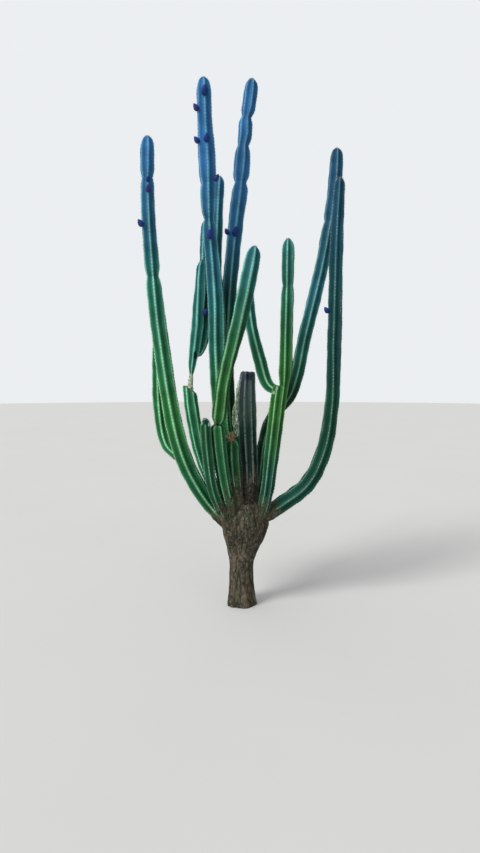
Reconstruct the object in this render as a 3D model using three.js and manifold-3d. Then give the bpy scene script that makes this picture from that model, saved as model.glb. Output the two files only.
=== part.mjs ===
// A columnar cactus of many ribbed arms that rise from one short woody trunk.
// Millimetres, +Z up. The origin is the middle of the flat cut under the trunk.
// +X is to the right of somebody who looks at the plant's front, and +Y is away from them.

import * as THREE from 'three';
import { mergeVertices } from 'three/addons/utils/BufferGeometryUtils.js';
import Module from 'manifold-3d';

const wasm = await Module();
wasm.setup();

// The gap that is left where one piece grows out of another.
const JOINT_GAP = 0.45;

// How closely the limbs are sampled.
const RING_STEP = 170;
const CURVE_SAMPLES = 400;

// A rib's groove, as a share of the radius at the rib's crest.
const GROOVE = 0.74;

// The pinch between two seasons' growth: how far it reaches up and down the limb.
const WAIST_REACH = 34;
const WAIST_RINGS = [-1.3, 0, 1.3];

// The rounded end of a limb: where its rings lie, as shares of its length.
const DOME_RINGS = [0.45, 0.8, 0.96];

// How long the rounded end is, as a share of the limb's radius.
const GROWING_TIP = 1.6;
const HEALED_STUMP = 0.5;
const CUT_FLAT = 0.12;

// Trunk: height, radius and how far it has leaned to the right there.
const TRUNK_SIDES = 18;
const TRUNK_RINGS = [
  [0, 104, 0],
  [45, 95, 0],
  [130, 87, -2],
  [240, 82, -4],
  [320, 88, 0],
  [400, 112, 8],
  [480, 142, 16],
  [560, 160, 20],
  [630, 150, 12],
  [690, 112, 4],
  [730, 60, 0],
];
const TRUNK_WIDEST = 560;
const TRUNK_TOP_RISE = 12;
const TRUNK_LOBES = 5;
const TRUNK_LOBE_DEPTH = 0.05;
const TRUNK_DEPTH = 0.95;

const BARK = { color: 0x6b5b4c, roughness: 0.95 };
const LOWER_SKIN = { color: 0x3f7455, roughness: 0.6 };
const UPPER_SKIN = { color: 0x3c6c78, roughness: 0.6 };
const BRIGHT_SKIN = { color: 0x5f9a58, roughness: 0.6 };
const DEAD_SKIN = { color: 0x4a4150, roughness: 0.85 };

// Each limb grows along its knots, from its foot inside its parent to its tip.
// A knot is [x, y, height, radius at the rib crests].
// The turn is where a rib crest stands, in degrees to the right of the front.
// A waist is [height, share of the radius that it takes away].
const LIMBS = [
  {
    name: 'arm_left_tall',
    skin: UPPER_SKIN,
    ribs: 6,
    turn: 0,
    knots: [
      [-50, -30, 520, 46],
      [-250, -95, 770, 58],
      [-397, -145, 1085, 63],
      [-526, -200, 1875, 58],
      [-585, -215, 2600, 49],
      [-584, -215, 3050, 48],
    ],
    waists: [[2195, 0.2], [2797, 0.16]],
  },
  {
    name: 'arm_left_rear',
    skin: LOWER_SKIN,
    ribs: 6,
    turn: 30,
    knots: [
      [-375, -125, 1010, 36],
      [-500, -35, 1115, 47],
      [-552, 10, 1380, 50],
      [-555, 30, 1862, 47],
    ],
    waists: [],
  },
  {
    name: 'stump_left',
    skin: LOWER_SKIN,
    ribs: 6,
    turn: 30,
    top: HEALED_STUMP,
    knots: [
      [-60, 20, 560, 38],
      [-190, 55, 800, 44],
      [-286, 60, 1062, 48],
      [-338, 60, 1338, 51],
      [-356, 60, 1504, 46],
    ],
    waists: [],
  },
  {
    name: 'regrowth_left_outer',
    skin: UPPER_SKIN,
    ribs: 5,
    turn: 0,
    knots: [
      [-346, 60, 1465, 17],
      [-344, 60, 1560, 16],
      [-336, 60, 1640, 27],
      [-318, 62, 1760, 41],
      [-296, 68, 1950, 45],
      [-262, 80, 2350, 40],
    ],
    waists: [],
  },
  {
    name: 'regrowth_left_inner',
    skin: UPPER_SKIN,
    ribs: 5,
    turn: 20,
    knots: [
      [-325, 66, 1700, 30],
      [-287, 112, 1715, 41],
      [-264, 146, 1830, 46],
      [-250, 160, 2200, 47],
      [-241, 182, 2640, 44],
    ],
    waists: [],
  },
  {
    name: 'arm_centre_tall',
    skin: UPPER_SKIN,
    ribs: 6,
    turn: 8,
    knots: [
      [-30, 20, 640, 42],
      [-130, 60, 1200, 55],
      [-163, 45, 1611, 56],
      [-171, 15, 2048, 57],
      [-215, 0, 2600, 52],
      [-228, 0, 2935, 59],
      [-248, 0, 3515, 51],
    ],
    waists: [[2603, 0.28], [2830, 0.14]],
  },
  {
    name: 'arm_centre_slim',
    skin: UPPER_SKIN,
    ribs: 5,
    turn: 0,
    knots: [
      [-168, 25, 1900, 30],
      [-176, 155, 2060, 38],
      [-177, 215, 2308, 41],
      [-165, 235, 2700, 41],
      [-156, 235, 2956, 40],
    ],
    waists: [],
  },
  {
    name: 'arm_back_tall',
    skin: UPPER_SKIN,
    ribs: 6,
    turn: 8,
    knots: [
      [0, 40, 640, 42],
      [-80, 110, 1196, 52],
      [-108, 180, 1822, 53],
      [-56, 245, 2487, 55],
      [-6, 280, 2921, 57],
      [13, 290, 3176, 54],
      [69, 300, 3632, 51],
    ],
    waists: [[2921, 0.32], [3176, 0.32], [3372, 0.32]],
  },
  {
    name: 'stump_front',
    skin: LOWER_SKIN,
    ribs: 6,
    turn: 30,
    top: HEALED_STUMP,
    knots: [
      [-50, -80, 600, 38],
      [-110, -135, 850, 45],
      [-147, -160, 1110, 50],
      [-160, -162, 1262, 48],
    ],
    waists: [],
  },
  {
    name: 'arm_front_leaning',
    skin: LOWER_SKIN,
    ribs: 5,
    turn: 15,
    knots: [
      [-160, -161, 1232, 30],
      [-149, -158, 1340, 41],
      [-114, -160, 1545, 49],
      [-5, -175, 1950, 62],
      [60, -168, 2230, 54],
      [84, -160, 2392, 46],
    ],
    waists: [],
  },
  {
    name: 'arm_front_short',
    skin: LOWER_SKIN,
    ribs: 6,
    turn: 0,
    knots: [
      [-85, -85, 560, 33],
      [-180, -165, 800, 39],
      [-223, -200, 1092, 42],
      [-234, -205, 1296, 41],
    ],
    waists: [],
  },
  {
    name: 'stump_middle',
    skin: LOWER_SKIN,
    ribs: 7,
    turn: 0,
    top: HEALED_STUMP,
    knots: [
      [-10, -60, 620, 46],
      [-45, -62, 820, 55],
      [-66, -60, 1010, 62],
      [-70, -60, 1190, 60],
    ],
    waists: [],
  },
  {
    name: 'column_dead',
    skin: DEAD_SKIN,
    ribs: 8,
    turn: 5,
    top: CUT_FLAT,
    knots: [
      [45, 15, 600, 48],
      [54, 30, 860, 61],
      [40, 42, 1180, 69],
      [36, 50, 1407, 67],
      [44, 55, 1600, 54],
    ],
    waists: [],
  },
  {
    name: 'arm_right_stout',
    skin: BRIGHT_SKIN,
    ribs: 7,
    turn: 26,
    top: HEALED_STUMP,
    knots: [
      [90, -45, 560, 40],
      [150, -78, 700, 45],
      [202, -108, 1082, 53],
      [230, -115, 1330, 56],
      [254, -115, 1512, 55],
    ],
    waists: [],
  },
  {
    name: 'arm_right_inner',
    skin: LOWER_SKIN,
    ribs: 5,
    turn: 5,
    knots: [
      [235, -105, 1465, 34],
      [170, -62, 1520, 44],
      [121, -30, 1676, 46],
      [67, 5, 1900, 41],
      [42, 35, 2160, 38],
    ],
    waists: [],
  },
  {
    name: 'arm_right_upright',
    skin: UPPER_SKIN,
    ribs: 6,
    turn: -12,
    knots: [
      [279, -113, 1480, 30],
      [287, -110, 1590, 44],
      [294, -110, 1860, 42],
      [301, -110, 2200, 41],
      [302, -110, 2450, 41],
    ],
    waists: [[2160, 0.1]],
  },
  {
    name: 'arm_right_leaning',
    skin: UPPER_SKIN,
    ribs: 6,
    turn: 0,
    knots: [
      [60, 60, 590, 36],
      [122, 115, 860, 40],
      [162, 133, 1140, 46],
      [240, 142, 1325, 49],
      [328, 149, 1420, 50],
      [380, 156, 1550, 51],
      [438, 182, 1822, 53],
      [574, 250, 2384, 54],
      [658, 303, 2900, 53],
      [675, 325, 3172, 50],
    ],
    waists: [[2653, 0.14]],
  },
  {
    name: 'arm_right_outer',
    skin: UPPER_SKIN,
    ribs: 6,
    turn: -5,
    splitAt: 1090,
    knots: [
      [80, -15, 575, 50],
      [275, -30, 704, 60],
      [450, -38, 849, 60],
      [558, -40, 1085, 58],
      [604, -40, 1380, 54],
      [617, -40, 1841, 52],
      [625, -40, 2500, 49],
      [641, -40, 2856, 42],
    ],
    waists: [],
  },
];

// A limb's centre line, sampled evenly by length: each sample has its place, its direction and its radius.
function centreLine(limb) {
  const places = limb.knots.map(([x, y, z]) => new THREE.Vector3(x, y, z));
  const path = new THREE.CatmullRomCurve3(places, false, 'centripetal');
  const radii = new THREE.SplineCurve(limb.knots.map(([, , z, radius]) => new THREE.Vector2(z, radius)));
  const length = path.getLength();
  const samples = [];
  for (let i = 0; i <= CURVE_SAMPLES; i += 1) {
    const share = i / CURVE_SAMPLES;
    const knotShare = path.getUtoTmapping(share);
    samples.push({
      along: share * length,
      place: path.getPoint(knotShare),
      direction: path.getTangent(knotShare),
      radius: radii.getPoint(knotShare).y,
    });
  }
  return samples;
}

// The sample at any length along the limb, between the two that lie around it.
function sampleAt(samples, along) {
  const position = THREE.MathUtils.clamp(along / samples[CURVE_SAMPLES].along, 0, 1) * CURVE_SAMPLES;
  const index = Math.min(Math.floor(position), CURVE_SAMPLES - 1);
  const share = position - index;
  const [below, above] = [samples[index], samples[index + 1]];
  return {
    place: below.place.clone().lerp(above.place, share),
    direction: below.direction.clone().lerp(above.direction, share).normalize(),
    radius: THREE.MathUtils.lerp(below.radius, above.radius, share),
  };
}

// How far along the limb it first reaches a height.
function lengthAtHeight(samples, height) {
  const above = samples.find((sample) => sample.place.z >= height);
  return above.along;
}

// The share of the full radius that is left at a height, with the pinches taken off.
function waistFactor(limb, height) {
  let factor = 1;
  for (const [waistHeight, share] of limb.waists) {
    const offset = (height - waistHeight) / WAIST_REACH;
    factor -= share * Math.exp(-offset * offset);
  }
  return factor;
}

// The lengths along the limb at which its rings lie, below its rounded end.
function ringPlaces(limb, samples, from, to) {
  const count = Math.max(2, Math.ceil((to - from) / RING_STEP));
  const waists = [];
  for (const [height] of limb.waists) {
    const narrowest = lengthAtHeight(samples, height);
    if (narrowest > from && narrowest < to) {
      WAIST_RINGS.forEach((shift) => waists.push(narrowest + shift * WAIST_REACH));
    }
  }
  const even = [];
  for (let i = 0; i <= count; i += 1) {
    even.push(from + ((to - from) * i) / count);
  }
  const clear = even.filter((place) => waists.every((waist) => Math.abs(waist - place) > WAIST_REACH));
  return [...clear, ...waists].sort((a, b) => a - b);
}

// One star-shaped ring: a crest and a groove for each rib.
function starRing(limb, sample, radius) {
  const side = new THREE.Vector3(0, 1, 0).cross(sample.direction).normalize();
  const back = sample.direction.clone().cross(side);
  const points = [];
  const firstCrest = THREE.MathUtils.degToRad(limb.turn) - Math.PI / 2;
  for (let i = 0; i < 2 * limb.ribs; i += 1) {
    const angle = firstCrest + (Math.PI * i) / limb.ribs;
    const reach = i % 2 === 0 ? radius : radius * GROOVE;
    points.push(sample.place.clone()
      .addScaledVector(side, reach * Math.cos(angle))
      .addScaledVector(back, reach * Math.sin(angle)));
  }
  return points;
}

// The rings of a limb between two lengths, with a rounded end or a flat cut at the top.
function limbRings(limb, samples, { from, to, domed, grow }) {
  const tipRadius = sampleAt(samples, to).radius;
  const dome = domed ? (limb.top ?? GROWING_TIP) * tipRadius : 0;
  const rings = ringPlaces(limb, samples, from, to - dome).map((along) => {
    const sample = sampleAt(samples, along);
    return starRing(limb, sample, sample.radius * waistFactor(limb, sample.place.z) + grow);
  });
  if (domed) {
    for (const share of DOME_RINGS) {
      const sample = sampleAt(samples, to - dome * (1 - share));
      sample.place.addScaledVector(sample.direction, grow);
      rings.push(starRing(limb, sample, sample.radius * Math.sqrt(1 - share * share) + grow));
    }
  }
  return rings;
}

// A closed solid from a stack of rings that all have the same number of points.
function loft(rings, foot, tip) {
  const size = rings[0].length;
  const points = [...rings.flat(), foot, tip];
  const footIndex = points.length - 2;
  const tipIndex = points.length - 1;
  const faces = [];
  for (let i = 0; i < size; i += 1) {
    const next = (i + 1) % size;
    faces.push(footIndex, next, i);
    for (let ring = 0; ring < rings.length - 1; ring += 1) {
      const low = ring * size;
      const high = low + size;
      faces.push(low + i, low + next, high + next, low + i, high + next, high + i);
    }
    const last = (rings.length - 1) * size;
    faces.push(tipIndex, last + i, last + next);
  }
  const geometry = new THREE.BufferGeometry().setFromPoints(points);
  geometry.setIndex(faces);
  return geometry;
}

// The middle of a ring of points.
function middle(ring) {
  const sum = ring.reduce((total, point) => total.add(point), new THREE.Vector3());
  return sum.divideScalar(ring.length);
}

// A limb, or a stretch of it, as a solid; grow makes it fatter by that much all round.
function limbSolid(limb, samples, { from, to, domed, grow = 0 }) {
  const rings = limbRings(limb, samples, { from, to, domed, grow });
  const tip = sampleAt(samples, to);
  const top = domed ? tip.place.addScaledVector(tip.direction, grow) : middle(rings.at(-1));
  return toSolid(loft(rings, middle(rings[0]), top));
}

// The trunk from its flat cut at the ground, over its root flare, to the crown that the limbs leave.
function trunkSolid(grow = 0) {
  const rings = TRUNK_RINGS.map(([height, radius, lean]) => {
    const ring = [];
    for (let i = 0; i < TRUNK_SIDES; i += 1) {
      const angle = (2 * Math.PI * i) / TRUNK_SIDES;
      const lobe = 1 + TRUNK_LOBE_DEPTH * Math.cos(TRUNK_LOBES * angle);
      const reach = radius * lobe + grow;
      ring.push(new THREE.Vector3(
        lean + reach * Math.cos(angle),
        reach * TRUNK_DEPTH * Math.sin(angle),
        height > TRUNK_WIDEST ? height + grow : height,
      ));
    }
    return ring;
  });
  const top = middle(rings.at(-1));
  top.z += TRUNK_TOP_RISE;
  return toSolid(loft(rings, middle(rings[0]), top));
}

// A closed mesh as a solid that can be cut.
function toSolid(geometry) {
  const merged = mergeVertices(geometry, 1e-3);
  return new wasm.Manifold(new wasm.Mesh({
    numProp: 3,
    vertProperties: merged.attributes.position.array,
    triVerts: new Uint32Array(merged.index.array),
  }));
}

// A solid as a named mesh with its own material.
function toMesh(name, solid, skin) {
  const { vertProperties, triVerts } = solid.getMesh();
  const geometry = new THREE.BufferGeometry();
  geometry.setAttribute('position', new THREE.BufferAttribute(vertProperties, 3));
  geometry.setIndex(new THREE.BufferAttribute(triVerts, 1));
  geometry.computeVertexNormals();
  const material = new THREE.MeshStandardMaterial({ ...skin, metalness: 0 });
  const mesh = new THREE.Mesh(geometry, material);
  mesh.name = name;
  return mesh;
}

// What is left of a solid once its neighbours are cut out of it.
function cutClear(solid, neighbours) {
  let rest = solid;
  for (const neighbour of neighbours) {
    rest = rest.subtract(neighbour);
  }
  return rest.decompose().reduce((best, body) => (body.volume() > best.volume() ? body : best));
}

// A limb that bends widely is two pieces, its elbow and the column above it.
function splitPieces(bend, length) {
  return [
    { suffix: '_elbow', from: 0, to: bend, domed: false },
    { suffix: '_column', from: bend + JOINT_GAP, to: length, domed: true },
  ];
}

const cactus = new THREE.Group();
cactus.name = 'columnar_cactus';
cactus.add(toMesh('trunk', trunkSolid(), BARK));

const neighbours = [trunkSolid(JOINT_GAP)];
for (const limb of LIMBS) {
  const samples = centreLine(limb);
  const length = samples[CURVE_SAMPLES].along;
  const pieces = limb.splitAt
    ? splitPieces(lengthAtHeight(samples, limb.splitAt), length)
    : [{ suffix: '', from: 0, to: length, domed: true }];
  for (const piece of pieces) {
    const whole = limbSolid(limb, samples, piece);
    cactus.add(toMesh(limb.name + piece.suffix, cutClear(whole, neighbours), limb.skin));
  }
  pieces.forEach((piece) => neighbours.push(limbSolid(limb, samples, { ...piece, grow: JOINT_GAP })));
}

export default cactus;
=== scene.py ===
import math
from collections.abc import Sequence
from dataclasses import dataclass

import bmesh
import bpy
import numpy as np
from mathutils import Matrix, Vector, noise


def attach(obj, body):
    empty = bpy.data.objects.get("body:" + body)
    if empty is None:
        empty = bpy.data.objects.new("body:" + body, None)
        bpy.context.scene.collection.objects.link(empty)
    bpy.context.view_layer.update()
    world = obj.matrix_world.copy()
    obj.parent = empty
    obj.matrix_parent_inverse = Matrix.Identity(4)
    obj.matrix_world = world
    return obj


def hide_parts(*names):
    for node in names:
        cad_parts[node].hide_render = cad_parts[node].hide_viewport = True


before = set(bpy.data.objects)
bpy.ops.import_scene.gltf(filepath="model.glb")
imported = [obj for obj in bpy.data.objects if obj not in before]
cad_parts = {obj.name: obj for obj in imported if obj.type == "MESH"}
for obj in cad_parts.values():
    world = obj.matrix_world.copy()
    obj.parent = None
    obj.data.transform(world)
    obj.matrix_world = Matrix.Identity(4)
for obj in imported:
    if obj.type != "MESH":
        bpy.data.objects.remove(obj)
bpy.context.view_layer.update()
rng = np.random.default_rng(11)
RIGHT, AWAY, UP = np.eye(3)

# The camera of the photograph: a 26 mm lens on a 36 mm frame, held at eye height.
CAMERA_PLACE = (-0.010, -4.160, 1.550)
CAMERA_PITCH = math.radians(4.409)
CAMERA_LENS = 26
CAMERA_FRAME = 36

# The soft light: where most of it comes from, its least and greatest strength, and its colour.
SOFT_LIGHT_FROM = (-0.85, -0.10, 0.50)
SOFT_LIGHT = (0.06, 1.05)
SOFT_LIGHT_COLOUR = (0.95, 0.98, 1.0)

# Areoles: how far apart they stand along a crest, and the notch that each one sits in.
AREOLE_STEP = 0.022
NOTCH_DEPTH = 0.0060
NOTCH_LENGTH = 0.0064
NOTCH_SPREAD = 0.22
YOUNG_RINGS = (18, 38, 56, 72)  # those on a growing tip, in degrees up its dome
YOUNG_REACH = 0.30  # how far below a growing tip they are still young
AREOLES_FROM = 0.012  # how far from its parent a stem's first ones are
LOWEST_AREOLE = 0.62

# A stem's rings lie this many to an areole, and half a rib has points at these shares of its width.
RINGS_PER_AREOLE = 4
CREST_POINTS = (0.07, 0.18, 0.40, 0.70)
DOME_RINGS = 16
SAMPLES = 600

# A rib's section: its groove as a share of the crest's radius, how round its crest and groove are, how full
# its side is, and how wide the pale line on its crest is.
GROOVE = 0.69
OLD_GROOVE = 0.86
CREST_ROUND = 0.10
GROOVE_ROUND = 0.12
SIDE_FULLNESS = 0.05
CREST_LINE = 0.31

# Ribs sway from side to side: by how many degrees, how fast, and how much sooner on a stem further right.
SWAY_DEGREES = 2.0
SWAY_SPEED = 2.3
SWAY_SHIFT = 9

# Bumps are sums of waves of several lengths, divided so that few of them pass their height. Each kind has
# a height, a size and a seed.
BUMP_WAVES = 7
BUMP_SPREAD = (0.6, 1.5)
BUMP_SUM = 3
SKIN_BUMPS = (0.0022, 0.045, 3)
CORK_BUMPS = (0.0020, 0.010, 4)
SCAR_BUMPS = (0.004, 0.016, 5)
HUE_BUMPS = (0.05, 0.4, 6)

# The pinch between two seasons' growth, and the crease in the middle of it.
WAIST_REACH = 0.034
CREASE_REACH = 0.005
CREASE_DEPTH = 0.06

# How long a stem's rounded end is, as a share of its radius, and how far a dead end has sunk in.
DOME = {"growing": 1.6, "healed": 0.5, "cut": 0.12}
SINK = {"growing": 0.0, "healed": 0.30, "cut": 0.34}
SINK_FROM = 0.80  # where on the rounded end it begins to sink
HOLLOW_DEPTH = 0.008
HOLLOW_EDGE = 0.3  # how deep in a hollow areoles still stand

# A slanted end, in shares of its radius: how far below its shoulder the slant begins, how far below its top
# the slant is whole, and how far left of the middle, or behind it, the end keeps its height.
SLANT_REACH = 1.6
SLANT_WHOLE = 0.2
SLANT_PIVOT = 0.35

# A point is looked for in another stem only this near to the box round its centre line, and so many at once.
BURIED_MARGIN = 0.1
BURIED_BATCH = 2000

# Skin colours run with height: green below this height and blue above the other.
GREEN_BELOW = 1.45
BLUE_ABOVE = 3.00
LOWEST_HUE = 0.15

# Each column of a colour map takes so many metres of stem, and the stem fills so much of its width.
MAP_LENGTH = 1.1
MAP_FILL = 0.98

# Spines lie round an areole or stand in its middle, and lean out by degrees.
SPINES_AROUND = 6
SPINES_MIDDLE = 2
SPINE_LEAN = {"around": 64, "middle": 22}
SPINE_LEAN_SPREAD = 9
SPINE_LENGTH = {"around": (0.006, 0.011), "middle": (0.011, 0.018)}
SPINE_WIDTH = 0.00055
SPINE_APART = 0.0009
SPINE_UNEVEN = 0.3  # as a share of the turn from one to the next
SPINE_SHARES = (0.45, 0.85)  # where the shares of their second and third colours begin
YOUNG_PALER = 0.35  # how much further along their colours young ones are

# Pads of felt in the areoles. Their rings are given by height and share of the width.
PAD_SIDES = 6
PAD_WIDTH = 0.0030
PAD_HEIGHT = 0.0038
PAD_THICKNESS = 0.0016
PAD_RINGS = ((-0.0006, 1.0), (0.0010, 0.78))
PAD_SIZES = (0.85, 1.15)
PAD_SHARES = (0.35,)  # where the share of their second colour begins
YOUNG_GREYER = 0.5  # how much nearer their first colour young ones are

# The tuft of wool on a growing tip.
WOOL_HAIRS = 150
WOOL_LENGTH = (0.004, 0.009)
WOOL_WIDTH = 0.0007
WOOL_LEAN = 75
WOOL_RADIUS = 0.013
WOOL_FALL = 0.35  # how far its edge lies below its middle, as a share of its radius
WOOL_ROOT = 0.001

# A flower bud is an egg, shaped by two powers. Its scales lie in crossing rows, and its foot is hidden in
# the crest.
BUD_RINGS = 20
BUD_SIDES = 28
BUD_WIDTH = 0.35  # its radius as a share of its length
BUD_POWERS = (0.72, 0.75)
BUD_SCALES = 0.12
BUD_SCALE_ROWS = 11
BUD_SCALE_COLUMNS = 4
BUD_ROOT = 0.006
BUD_HIDDEN = 0.004
BUD_OUT = 0.62
BUD_UP = (0.65, 0.85)

# Tubes: a direction that none of them runs in, how far their ends bulge, and the size of their bumps. What
# is steeper than NEARLY_UP needs another direction beside it than up.
TUBE_HELPER = (0.31, 0.93, 0.17)
TUBE_BULGE = 0.4
TUBE_BUMP_WIDTH = 0.012
NEARLY_UP = 0.9

# The trunk's outline. It starts below the ground and is cut flat at the end.
TRUNK_SIDES = 72
TRUNK_RINGS = 60
TRUNK_LOBES = 5
TRUNK_LOBE_DEPTH = 0.05
TRUNK_DEPTH = 0.95
TRUNK_TOP_RISE = 0.012
TRUNK_BELOW = 0.05

# The feet of the arms that start below this height are part of the bark, as far as the reach.
ROOTED_BELOW = 0.65
STUB_REACH = 0.22
STUB_RINGS = 14
STUB_SIDES = 20
STUB_WIDTH = ((0, 0.55, 1), (1.0, 1.0, 0.66))

# Bark: the grid that it is made on, its relief, and the heights between which its marks begin. Patterns have
# a scale for x, y and height. Their noise is how fast finer layers fade, how much finer each one is, and
# how many there are.
BARK_VOXEL = 0.0052
BARK_SOFTENING = 9
PLATE_SCALE = (30, 30, 12)
PLATE_NOISE = (1.0, 2.1, 4)
BARK_RELIEF = 0.0035
FISSURE_SCALE = (26, 26, 7)
FISSURE_NOISE = (0.9, 2.3, 2)
FISSURE_DEPTH = 0.0055
FISSURE_WIDTH = 0.13
RING_SCALE = (9, 9, 46)
RING_CRACK_DEPTH = 0.4  # as a share of the fissures' depth
RING_CRACK_SHADE = 0.6
RING_CRACKS_FROM = (0.15, 0.55)
BARK_GREEN_FROM = (0.56, 0.78)
BARK_GREEN_ASIDE = (0.08, 0.20)
CROWN_MIDDLE = 0.02  # how far right of the origin the trunk's crown is

# The pale neck on the left stump: the heights of its ends, and its radius at shares of its length.
NECK_HEIGHTS = (1.440, 1.590)
NECK_WIDTH = ((0, 0.35, 0.8, 1), (0.024, 0.019, 0.015, 0.011))
NECK_RINGS = 30
NECK_LEAN = 0.008
NECK_LUMPS = 0.20

# The strip of dry fibres beside the dead column: its ends, and how far left it reaches at some heights.
NET_FOOT = 1.175
NET_TOP = 1.545
NET_EDGE = [
    (1.175, -0.036), (1.210, -0.050), (1.243, -0.057), (1.277, -0.061), (1.343, -0.057),
    (1.380, -0.046), (1.410, -0.037), (1.477, -0.033), (1.510, -0.028), (1.545, -0.016),
]
# Its strands wander between the column, at 0, and the edge, at 1. Those that start beyond NET_WHOLE are torn
# off at the top by up to NET_TORN, and the last ones are its thick rim.
NET_STRANDS = 20
NET_POINTS = 90
NET_THICKNESS = (0.0012, 0.0021)
NET_LUMPS = 0.25
NET_ROOT = 0.80  # where it starts, as a share of the column's radius
NET_WANDER = 0.24
NET_CYCLES = (3, 7)
NET_WHOLE = 0.2
NET_TORN = 0.10
NET_RIM = 0.0026
NET_RIM_SHARES = (0.97, 1.0)
# How far in front of the column's centre line they hang at the column, how much further at the edge, and
# how far and fast they wave.
NET_FRONT = 0.030
NET_SLOPE = 0.04
NET_WAVE = 0.008
NET_WAVE_SPEED = 60

# The heights between which the dead column's colours change. Towards the lower one it turns near black,
# which is painted shade where its foot stands in shadow.
DEAD_FROM = 0.85
DEAD_TO = 1.58

# Areoles and spines are joined by group. These words are in the names of a group's stems.
GROUPS = {
    "left": ("left",),
    "centre": ("centre", "front", "back", "middle"),
    "right": ("right", "dead"),
}

# Colours are linear red, green and blue.
SKIN_COLOURS = [
    (0.00, (0.030, 0.142, 0.028)),
    (0.15, (0.020, 0.125, 0.032)),
    (0.40, (0.018, 0.118, 0.094)),
    (0.66, (0.020, 0.118, 0.168)),
    (1.00, (0.034, 0.150, 0.335)),
]
BLOOM_COLOURS = [(0.0, (0.050, 0.200, 0.060)), (0.5, (0.042, 0.190, 0.180)), (1.0, (0.062, 0.215, 0.430))]
# Painted shade in the grooves: the skin there is painted darker than on the sides.
GROOVE_SHADE_COLOURS = [(0.0, (0.005, 0.052, 0.009)), (0.5, (0.005, 0.046, 0.048)), (1.0, (0.026, 0.100, 0.270))]
CREST_COLOURS = [(0.0, (0.24, 0.52, 0.23)), (0.5, (0.19, 0.49, 0.41)), (1.0, (0.10, 0.37, 0.61))]
PALE_COLOUR = (0.25, 0.36, 0.26)
# Painted shade in the hollows of living stems.
HOLLOW_SHADE_COLOUR = (0.006, 0.034, 0.042)
CORK_COLOURS = [(0.30, (0.115, 0.085, 0.055)), (0.48, (0.26, 0.20, 0.13)), (0.70, (0.42, 0.37, 0.27))]
RUST_COLOUR = (0.34, 0.175, 0.090)
# The dead column's colours by height. The near-black ones at its foot are painted shade.
DEAD_COLOURS_AND_SHADE = [
    (0.00, (0.004, 0.022, 0.014)),
    (0.48, (0.010, 0.044, 0.032)),
    (0.70, (0.052, 0.108, 0.088)),
    (0.88, (0.064, 0.106, 0.112)),
    (1.00, (0.036, 0.038, 0.080)),
]
DEAD_FIBRE = (0.130, 0.138, 0.115)
DEAD_CREST = (0.20, 0.25, 0.24)
DEAD_SHOULDER = (0.105, 0.165, 0.155)
DEAD_HOLLOW = (0.022, 0.028, 0.058)
DEAD_TOP = [(0.35, (0.030, 0.028, 0.026)), (0.65, (0.17, 0.14, 0.10))]
BARK_COLOURS = [
    (0.30, (0.040, 0.036, 0.024)),
    (0.45, (0.075, 0.072, 0.045)),
    (0.58, (0.100, 0.078, 0.052)),
    (0.72, (0.160, 0.132, 0.092)),
]
BARK_GREY = (0.18, 0.165, 0.135)
BARK_GREEN = (0.030, 0.085, 0.030)
BARK_DARK = (0.010, 0.009, 0.007)
NECK_COLOURS = [(0.36, (0.24, 0.30, 0.17)), (0.54, (0.86, 0.94, 0.74))]
DRIED_COLOURS = [(0.38, (0.14, 0.26, 0.13)), (0.58, (0.72, 0.88, 0.68))]
PIT_SHADE = 0.35
SPINE_COLOURS = [(0.055, 0.052, 0.044), (0.23, 0.25, 0.22), (0.34, 0.34, 0.28)]
FELT_COLOURS = [(0.34, 0.40, 0.37), (0.56, 0.63, 0.59)]
WOOL_COLOURS = [(0.34, 0.30, 0.25), (0.20, 0.16, 0.13)]
BUD_COLOURS = [(0.008, 0.040, 0.185), (0.036, 0.036, 0.160), (0.020, 0.042, 0.200)]
FLOOR_COLOUR = (0.63, 0.62, 0.60)
BACKDROP_COLOUR = (0.84, 0.86, 0.88)

# Flower buds: the limb, the height in metres, how far right of the front in degrees, and the length.
BUDS = [
    ("arm_left_tall", 2.762, 0, 0.036),
    ("arm_left_tall", 2.700, 0, 0.046),
    ("arm_left_tall", 2.497, -60, 0.050),
    ("arm_centre_tall", 3.365, 8, 0.066),
    ("arm_centre_tall", 3.280, -52, 0.050),
    ("arm_centre_tall", 3.078, -52, 0.048),
    ("arm_centre_tall", 3.072, 8, 0.056),
    ("arm_centre_tall", 2.838, 68, 0.050),
    ("arm_centre_tall", 2.465, 0, 0.066),
    ("arm_back_tall", 2.530, 0, 0.070),
    ("arm_back_tall", 2.545, -60, 0.044),
    ("regrowth_left_outer", 1.985, 60, 0.052),
    ("arm_right_outer", 1.983, -65, 0.046),
    ("arm_left_tall", 2.640, 180, 0.048),
    ("arm_centre_tall", 3.210, 188, 0.052),
    ("arm_back_tall", 3.050, 188, 0.048),
    ("arm_right_leaning", 2.750, 180, 0.048),
    ("arm_right_outer", 2.420, 175, 0.046),
]


@dataclass
class Limb:
    """A ribbed stem. Values that change along it are given at some heights."""

    name: str
    ribs: int
    turn: float  # where a crest stands, in degrees to the right of the front
    knots: Sequence  # its centre line: (x, y, height, radius at the crests)
    end: str = "growing"
    waists: Sequence = ()  # (height, share of the radius that it takes away)
    blue: Sequence = ((0, 0),)  # (height, how much bluer the skin is than it would be there)
    tone: Sequence = ((0, 1),)  # (height, painted light and shade: how much lighter or darker the skin is painted there)
    twist: Sequence = ((0, 0),)  # (height, degrees that the ribs have turned)
    lines: float = 1.0  # how clear the pale lines along its crests are
    scar: Sequence = (0.30, 0.62)  # where a healed end turns to cork, in shares of its dome
    cork: float = 0.05  # how far its foot is corky
    rust: float = 0.3  # how red its scars are, from 0 to 1
    slant: Sequence = (0.0, 0.0)  # how much lower its end lies on the right and at the front
    hollows: Sequence = ()  # sunken hollows, painted dark; on living skin the dark is painted shade: (x, y, height, size)
    pale: Sequence = ()  # pale healed patches: (x, y, height, size)
    nodes: Sequence = ()  # the CAD nodes that it stands for, where they have another name


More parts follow.
